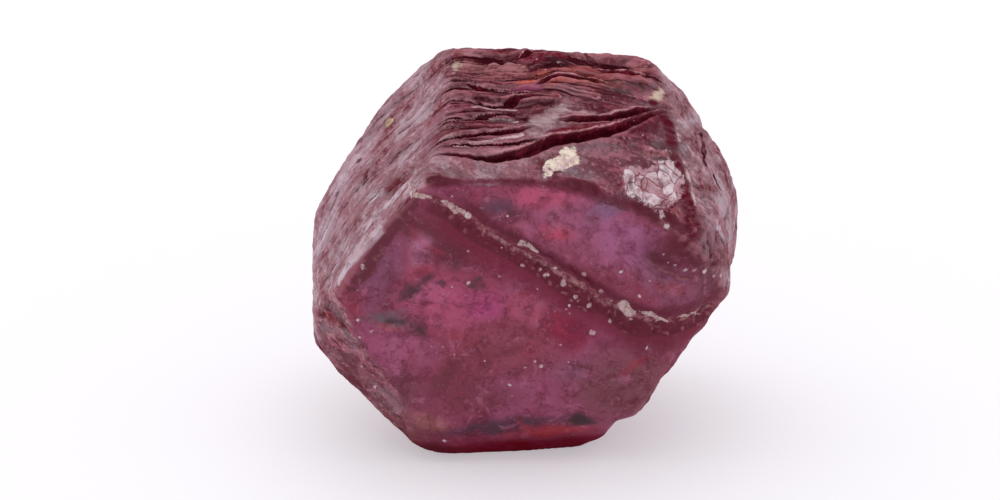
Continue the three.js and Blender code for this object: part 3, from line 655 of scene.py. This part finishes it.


# How far each place stands proud of its surroundings, for the wear and painted highlight on edges and the
# painted shade in creases.
ends = np.empty(2 * len(crystal_mesh.edges), dtype=np.int64)
crystal_mesh.edges.foreach_get("vertices", ends)
first, second = ends[0::2], ends[1::2]
count = np.bincount(ends, minlength=len(skin))[:, None]
soft = skin.copy()
for _ in range(SMOOTHING_ROUNDS):
    total = np.zeros_like(soft)
    np.add.at(total, first, soft[second])
    np.add.at(total, second, soft[first])
    soft = 0.3 * soft + 0.7 * total / count
outward = np.empty(3 * len(skin))
crystal_mesh.vertex_normals.foreach_get("vector", outward)
proud = np.einsum("ij,ij->i", skin - soft, outward.reshape(-1, 3))
skin_fields["proud"] = proud / EDGE_AND_CREASE_HEIGHT
for name, values in skin_fields.items():
    keep(name, values)

# Patches of colour, from plum through magenta to violet, with bluish hazes.
haze = noise(ragged, (0.5,) * 3, 51)[:, None]
tint = np.array((0.30, 0.055, 0.115)) + np.array((0.05, 0.02, 0.05)) * haze
share_painted = np.zeros(len(skin))
for where, half_sizes, turn, colour, strength in PATCHES:
    share = strength * blot(ragged, where, half_sizes, turn, 0.35)
    tint = tint + (np.array(colour) - tint) * share[:, None]
    share_painted = np.maximum(share_painted, share)
mark, share_marked = np.zeros((len(skin), 3)) + DARK, np.zeros(len(skin))
loose = 0.65 * skin + 0.35 * ragged
for line, half_width, colour, strength in STROKES:
    share = strength * smoothstep(1.6, 0.3, from_stroke(loose, line) / half_width)
    mark = mark + (np.array(colour) - mark) * smoothstep(0, 0.25, share)[:, None]
    share_marked = np.maximum(share_marked, share)
grain_at = sum(smoothstep(1.5, 0.4, np.hypot(loose[:, 0] - across, loose[:, 2] - height) / radius)
               for across, height, radius in GRAINS) * (skin[:, 1] < GRAINS_END)
keep("marked", share_marked)
keep("grain", grain_at)
keep("mark", mark)
keep("tint", tint)
keep("painted", share_painted)

stone = bpy.data.objects.new("rough_sapphire", crystal_mesh)
bpy.context.collection.objects.link(stone)

# The stone's finish: plum corundum, clear in the flat windows and frosted elsewhere.
finish = bpy.data.materials.new("plum sapphire")
finish.use_nodes = True
nodes, links = finish.node_tree.nodes, finish.node_tree.links
shader = nodes["Principled BSDF"]
output = nodes["Material Output"]
shader.inputs["IOR"].default_value = 1.77
shader.inputs["Specular IOR Level"].default_value = 0.0
shader.inputs["Subsurface Weight"].default_value = 0.0
place = nodes.new("ShaderNodeTexCoord").outputs["Object"]


def feed(socket, value):
    """Links a socket to another one, or sets it to a value."""
    if isinstance(value, bpy.types.NodeSocket):
        links.new(value, socket)
    else:
        socket.default_value = value


def node(kind, settings=None, **inputs):
    """A new node with its settings and inputs. An input is named, or _0 for the first one."""
    made = nodes.new("ShaderNode" + kind)
    for name, value in (settings or {}).items():
        setattr(made, name, value)
    for name, value in inputs.items():
        feed(made.inputs[int(name[1:]) if name[0] == "_" else name.replace("_", " ")], value)
    return made


def math_of(operation, a, b=0.0):
    return node("Math", {"operation": operation}, _0=a, _1=b).outputs[0]


def times(*values):
    product = values[0]
    for value in values[1:]:
        product = math_of("MULTIPLY", product, value)
    return product


def plus(*values):
    total = values[0]
    for value in values[1:]:
        total = math_of("ADD", total, value)
    return total


def about_zero(noise_of, size):
    """Noise that lies about a half, moved to lie about zero and made this large."""
    return times(math_of("SUBTRACT", noise_of, 0.5), size)


def ramp(value, low, high, to_low=0.0, to_high=1.0):
    """A smooth change from to_low at low to to_high at high."""
    made = node("MapRange", {"interpolation_type": "SMOOTHSTEP"}, Value=value)
    for name, number in zip(("From Min", "From Max", "To Min", "To Max"), (low, high, to_low, to_high)):
        made.inputs[name].default_value = number
    return made.outputs["Result"]


def mix(share, a, b):
    made = node("Mix", {"data_type": "RGBA"})
    feed(made.inputs[0], share)
    for socket, value in ((made.inputs[6], a), (made.inputs[7], b)):
        feed(socket, (*value, 1) if isinstance(value, tuple) else value)
    return made.outputs[2]


def field(name):
    return node("Attribute", {"attribute_name": name}).outputs["Fac"]


def cloud(at, size, detail=3.0, roughness=0.55, distortion=0.0):
    """Noise with patches about this many mm across."""
    made = node("TexNoise", Vector=at, Scale=1 / (size * MM), Detail=detail)
    made.inputs["Roughness"].default_value = roughness
    made.inputs["Distortion"].default_value = distortion
    return made.outputs["Fac"]


def along_crystal(stretch):
    """Object coordinates turned to the barrel's axis and squeezed in its three directions."""
    turned = node("Mapping", {"vector_type": "POINT"}, Vector=place)
    turned.inputs["Rotation"].default_value = (math.radians(FRONT_LEAN), 0, 0)
    turned.inputs["Scale"].default_value = stretch
    return turned.outputs["Vector"]


in_pale, in_flaky = field("pale"), field("flaky")
tint_of = node("Attribute", {"attribute_name": "tint"}).outputs["Vector"]
mark_of = node("Attribute", {"attribute_name": "mark"}).outputs["Vector"]
proud_of = field("proud")


def near_cliff(count):
    """Where each plate ends: 0 at the foot of its cliff, rising to 1 at the next one behind."""
    return math_of("FRACT", plus(field(count), 0.5))


# Clear windows: the patches, with finer clouds and a few healed cracks.
fine = cloud(place, 0.5, 6, 0.65, 0.4)
crumbs = cloud(place, 0.3, 5, 0.7)
speckle = cloud(place, 0.11, 3, 0.7)
in_clear = ramp(plus(field("clear"), about_zero(crumbs, 0.9)), 0.32, 0.6)
lit = ramp(node("SeparateXYZ", Vector=place).outputs["Z"], 0.4 * MM, 1.3 * MM)
window = mix(ramp(fine, 0.44, 0.64, 0.0, 0.6), tint_of, (0.15, 0.012, 0.035))
pink_haze = ramp(cloud(place, 0.8, 5, 0.65, 1.2), 0.54, 0.68, 0.0, 0.5)
window = mix(times(lit, pink_haze), window, (0.52, 0.15, 0.28))
red_haze = ramp(cloud(place, 1.3, 5, 0.6, 0.8), 0.57, 0.7, 0.0, 0.6)
window = mix(times(lit, red_haze), window, (0.36, 0.03, 0.06))
warp = node("TexNoise", Vector=place, Scale=1 / (0.5 * MM)).outputs["Color"]
warp = node("VectorMath", {"operation": "SCALE"}, _0=warp, Scale=0.4 * MM).outputs[0]
bent = node("VectorMath", {"operation": "ADD"}, _0=place, _1=warp).outputs[0]
cracks = node("TexVoronoi", {"feature": "DISTANCE_TO_EDGE"}, Vector=bent, Scale=1 / (1.1 * MM))
healed = times(ramp(cracks.outputs["Distance"], 0.035, 0.01), ramp(fine, 0.5, 0.6), 0.4)
window = mix(healed, window, (0.12, 0.01, 0.03))
veil = math_of("ABSOLUTE", math_of("SUBTRACT", cloud(place, 1.5, 5, 0.6, 1.4), 0.5))
window = mix(times(ramp(veil, 0.022, 0.004), ramp(crumbs, 0.42, 0.56), 0.55), window, (0.13, 0.008, 0.025))
wisps = math_of("ABSOLUTE", math_of("SUBTRACT", cloud(place, 1.1, 6, 0.65, 0.8), 0.52))
window = mix(times(lit, ramp(wisps, 0.012, 0.0), ramp(fine, 0.54, 0.64), 0.35), window, (0.58, 0.30, 0.40))
window = mix(times(ramp(speckle, 0.42, 0.3), 0.5), window, (0.10, 0.008, 0.02))
window = mix(times(lit, ramp(speckle, 0.6, 0.74), 0.35), window, (0.60, 0.30, 0.38))

# Frosted skin: black-red in the hollows of its plates, through plum, to mauve on top of them; this follows
# their relief, as painted shade in the hollows and painted light on the tops, mixed with random tone.
splinter = along_crystal((0.45, 2.0, 1.0))
splinter_bent = node("VectorMath", {"operation": "SCALE"}, _0=warp, Scale=0.5).outputs[0]
splinter_bent = node("VectorMath", {"operation": "ADD"}, _0=splinter, _1=splinter_bent).outputs[0]
streak = cloud(along_crystal((0.3, 2.4, 0.3)), 0.5, 5, 0.65, 0.3)
mottle = cloud(along_crystal((0.6, 1.2, 1.2)), 0.5, 6, 0.7)
lumpy = cloud(along_crystal((1.0, 0.6, 1.0)), 0.9, 6, 0.6, 0.6)
rough = about_zero(speckle, 0.6)
height = plus(times(field("relief"), in_flaky, 0.25), times(mottle, 0.45))
height = plus(height, times(streak, 0.55), rough)
flakes = node("TexVoronoi", Vector=splinter_bent, Scale=1 / (0.42 * MM)).outputs["Color"]
flakes = node("SeparateColor", Color=flakes).outputs[0]
height = plus(height, about_zero(flakes, 0.28))
frost_and_relief_shade = mix(ramp(height, 0.46, 0.58), (0.04, 0.001, 0.004), (0.17, 0.009, 0.018))
frost_and_relief_shade = mix(ramp(height, 0.58, 0.76), frost_and_relief_shade, (0.41, 0.10, 0.122))
frost_and_relief_shade = mix(ramp(height, 0.78, 0.9), frost_and_relief_shade, (0.60, 0.32, 0.35))
soft = plus(times(mottle, 0.2), times(lumpy, 0.6))
soft = plus(soft, times(streak, 0.2), times(rough, 0.35))
soft = plus(soft, about_zero(flakes, 0.05))
# Mauve for the pale skin of the sides: partly the stone's tone, partly a painted sheen of the white tent.
mauve = mix(ramp(soft, 0.38, 0.47), (0.22, 0.06, 0.075), (0.40, 0.215, 0.25))
mauve = mix(ramp(soft, 0.47, 0.57), mauve, (0.60, 0.45, 0.51))
outer = mix(times(in_pale, ramp(cloud(place, 1.1, 4, 0.6), 0.2, 0.55, 0.5)), frost_and_relief_shade, mauve)
outer = mix(times(field("painted"), ramp(height, 0.5, 0.7, 0.5, 0.85)), outer, tint_of)
# Within the colour patches, painted shade where the relief and tone run low.
patch_hollow_shade = times(field("painted"), ramp(height, 0.56, 0.44, 0, 0.7), ramp(in_pale, 0.2, 0.55, 1, 0))
outer = mix(patch_hollow_shade, outer, (0.06, 0.002, 0.008))
outer = mix(times(ramp(speckle, 0.41, 0.3), ramp(in_pale, 0.2, 0.8, 0.6, 0.3)), outer, (0.09, 0.006, 0.014))
outer = mix(times(ramp(speckle, 0.6, 0.72), ramp(in_pale, 0.1, 0.6, 0.3, 0.55)), outer, (0.66, 0.46, 0.50))
# Along the plates and thin sheets: a dark line as painted shade and a light line as painted highlight at
# each cliff between them.
layer_at, sheet_at = near_cliff("layers"), near_cliff("sheets")
here = ramp(cloud(along_crystal((0.35, 1.3, 0.35)), 0.8, 3, 0.6), 0.42, 0.58)
also = ramp(cloud(along_crystal((0.3, 1.5, 0.3)), 0.5, 3, 0.6), 0.45, 0.6)
lined = times(ramp(in_flaky, 0.05, 0.7), ramp(in_pale, 0.3, 0.75, 1.0, 0.3), ramp(lumpy, 0.36, 0.5, 0.25))
outer = mix(times(lined, ramp(sheet_at, 0.6, 0.95), here, 0.85), outer, (0.05, 0.003, 0.008))
outer = mix(times(lined, ramp(sheet_at, 0.2, 0.05), also, 0.6), outer, (0.40, 0.12, 0.15))
outer = mix(times(lined, ramp(layer_at, 0.6, 0.94), 0.95), outer, (0.035, 0.0015, 0.005))
outer = mix(times(lined, ramp(layer_at, 0.12, 0.04), here, 0.9), outer, (0.58, 0.26, 0.29))

streaked = ramp(cloud(place, 0.3, 5, 0.7), 0.38, 0.58)
rough_edge = plus(field("marked"), about_zero(streak, 1.2))
rough_edge = plus(rough_edge, plus(rough, about_zero(mottle, 1.1)))
# The strokes' colour, mottled: stains, and also painted highlights on edges and painted shade in gaps and
# creases.
stain_and_painted_light = mix(ramp(mottle, 0.56, 0.4, 0.0, 0.6), mark_of, (0.12, 0.02, 0.03))
stain_and_painted_light = mix(ramp(crumbs, 0.5, 0.68, 0.0, 0.4), stain_and_painted_light, (0.42, 0.17, 0.21))

colour = mix(in_clear, outer, window)
colour = mix(ramp(rough_edge, 0.25, 0.75), colour, stain_and_painted_light)
shaded = times(ramp(field("shade"), 0, 0.7), ramp(crumbs, 0.68, 0.4, 0.75))
colour = mix(shaded, colour, (0.10, 0.002, 0.014))
colour = mix(times(field("rim"), 0.85), colour, (0.17, 0.006, 0.032))
# Painted shade on the brow at the hollow's right, which faces aside, mottled.
colour = mix(times(field("brow"), ramp(mottle, 0.64, 0.42, 0.5), 0.9), colour, (0.11, 0.006, 0.02))
# Painted shade in the band at the foot of the hollow's wall, just above the ledge.
colour = mix(times(field("foot"), 0.75), colour, (0.11, 0.004, 0.02))

# The ledge's sandy top and its crest, the edges lightened by wear and painted highlight, and the creases
# darkened as painted shade.
edge_at = field("ledge")
sand_at = times(ramp(edge_at, -0.6, -0.05), ramp(field("sandy"), 0, 0.3),
                ramp(cloud(place, 0.8, 2), 0.35, 0.6, 0.4))
grains = plus(cloud(place, 0.16, 4, 0.75), times(sand_at, 0.14))
colour = mix(times(ramp(field("sandy"), 0, 0.6), 0.8), colour, (0.12, 0.004, 0.018))
colour = mix(times(sand_at, ramp(grains, 0.58, 0.78)), colour, (0.36, 0.12, 0.15))
# A broken light line along the ledge's crest: partly dust, partly a painted highlight where the crest faces
# up.
broken = times(ramp(edge_at, -0.16, -0.08), ramp(edge_at, 0.05, -0.02),
               ramp(field("rim"), 0, 0.3), ramp(crumbs, 0.44, 0.6))
colour = mix(times(broken, 0.65), colour, (0.46, 0.22, 0.24))
# Painted shade in the creases; on the edges that stand proud a lighter colour, partly wear and partly
# painted highlight.
colour = mix(times(ramp(proud_of, -0.4, -1.6), lit, 0.75), colour, (0.06, 0.003, 0.009))
colour = mix(times(ramp(proud_of, 0.4, 1.6), lit, 0.4), colour, (0.46, 0.19, 0.22))

# Clefts, black-red inside as painted shade, with broken rims lightened as painted highlights.
off, in_cleft = field("cleft_off"), field("cleft_here")
cleft_shade = mix(ramp(crumbs, 0.46, 0.66), (0.05, 0.0015, 0.006), (0.17, 0.010, 0.024))
colour = mix(times(in_cleft, ramp(off, -1.7, -1.1), ramp(off, 1.7, 1.2), 0.96), colour, cleft_shade)
lip_highlight_behind = times(in_cleft, ramp(off, 1.4, 1.8), ramp(off, 2.8, 2.1), streaked, 0.8)
colour = mix(lip_highlight_behind, colour, (0.58, 0.28, 0.31))
lip_highlight_before = times(in_cleft, ramp(off, -2.9, -2.2), ramp(off, -1.4, -1.8), streaked, 0.3)
colour = mix(lip_highlight_before, colour, (0.40, 0.14, 0.17))

# Dust along the ledge, clinging cream rock, a patch of crackle, dark grit and white specks.
dusty = plus(field("dust"), about_zero(crumbs, 2.4))
dusty = plus(dusty, rough)
dust_colour = mix(ramp(speckle, 0.35, 0.6), (0.36, 0.18, 0.19), (0.66, 0.48, 0.46))
colour = mix(times(ramp(dusty, 0.5, 0.9), ramp(field("dust"), 0, 0.1), 0.9), colour, dust_colour)


def ragged_patch(name):
    """A patch of the skin with a broken edge."""
    broad = about_zero(lumpy, 2.0)
    edge = plus(field(name), rough, plus(times(crumbs, 2.4), broad))
    return times(ramp(edge, 1.5, 1.85), ramp(field(name), 0.0, 0.15))


rock = mix(ramp(crumbs, 0.36, 0.6), (0.64, 0.45, 0.44), (0.88, 0.77, 0.62))
rock = mix(ramp(fine, 0.5, 0.62, 0, 0.7), rock, (0.84, 0.72, 0.70))
rock = mix(ramp(speckle, 0.46, 0.34, 0.0, 0.7), rock, (0.40, 0.16, 0.18))
colour = mix(ragged_patch("cream"), colour, rock)
crazed = node("Mapping", Vector=bent, Rotation=(0.3, 0.5, 0.2), Scale=(1.4, 1.0, 0.9)).outputs["Vector"]
cells = node("TexVoronoi", {"feature": "DISTANCE_TO_EDGE"}, Vector=crazed, Scale=1 / (0.6 * MM))
cell = node("TexVoronoi", Vector=crazed, Scale=1 / (0.6 * MM)).outputs["Color"]
cell = node("SeparateColor", Color=cell).outputs[0]
shards = mix(ramp(cell, 0.0, 1.0), (0.48, 0.27, 0.31), (0.78, 0.65, 0.70))
shards = mix(ramp(crumbs, 0.56, 0.4, 0.0, 0.6), shards, (0.36, 0.15, 0.18))
crazing = times(ramp(cells.outputs["Distance"], 0.05, 0.01), ramp(fine, 0.62, 0.48), 0.9)
shards = mix(crazing, shards, (0.20, 0.035, 0.05))
colour = mix(times(ragged_patch("crackle"), ramp(fine, 0.36, 0.5, 0.45)), colour, shards)
gritty = plus(field("grit"), about_zero(cloud(place, 0.3, 6, 0.72), 1.6))
gritty = ramp(plus(gritty, rough), 0.35, 1.15)
colour = mix(times(gritty, ramp(field("grit"), 0, 0.4), 0.85), colour, (0.045, 0.022, 0.028))
dots = node("TexVoronoi", Vector=place, Scale=1 / (0.33 * MM))
small = ramp(dots.outputs["Color"], 0.1, 0.9, 0.02, 0.12)
gate = plus(ramp(cloud(place, 1.2, 2), 0.54, 0.62), field("rim"))
speck = times(math_of("LESS_THAN", dots.outputs["Distance"], small), ramp(gate, 0, 1), 0.8)
stuck = plus(field("grain"), about_zero(speckle, 2.0))
speck = math_of("MAXIMUM", speck, times(ramp(stuck, 0.45, 0.95), ramp(field("grain"), 0.05, 0.3), 0.9))
colour = mix(speck, colour, mix(ramp(crumbs, 0.42, 0.6), (0.50, 0.28, 0.33), (0.74, 0.60, 0.62)))
links.new(colour, shader.inputs["Base Color"])

links.new(ramp(in_clear, 0, 1, 0.4, 0.3), shader.inputs["Roughness"])
links.new(times(ramp(in_clear, 0.1, 1, 0.02, 0.22), lit), shader.inputs["Transmission Weight"])

saw = plus(times(in_flaky, ramp(layer_at, 0.0, 0.12)), times(in_flaky, ramp(sheet_at, 0.0, 0.2), 0.4))
ridges = node("Bump", Height=saw, Distance=0.05 * MM, Strength=0.7)
pits = node("Bump", Height=cloud(place, 0.2, 4, 0.6), Distance=0.025 * MM, Strength=0.6,
            Normal=ridges.outputs[0])
links.new(pits.outputs[0], shader.inputs["Normal"])

absorb = node("VolumeAbsorption")
absorb.inputs["Color"].default_value = (0.9, 0.15, 0.35, 1)
absorb.inputs["Density"].default_value = 300
links.new(absorb.outputs[0], output.inputs["Volume"])
crystal_mesh.materials.append(finish)

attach(stone, "root")
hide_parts("sapphire_crystal")
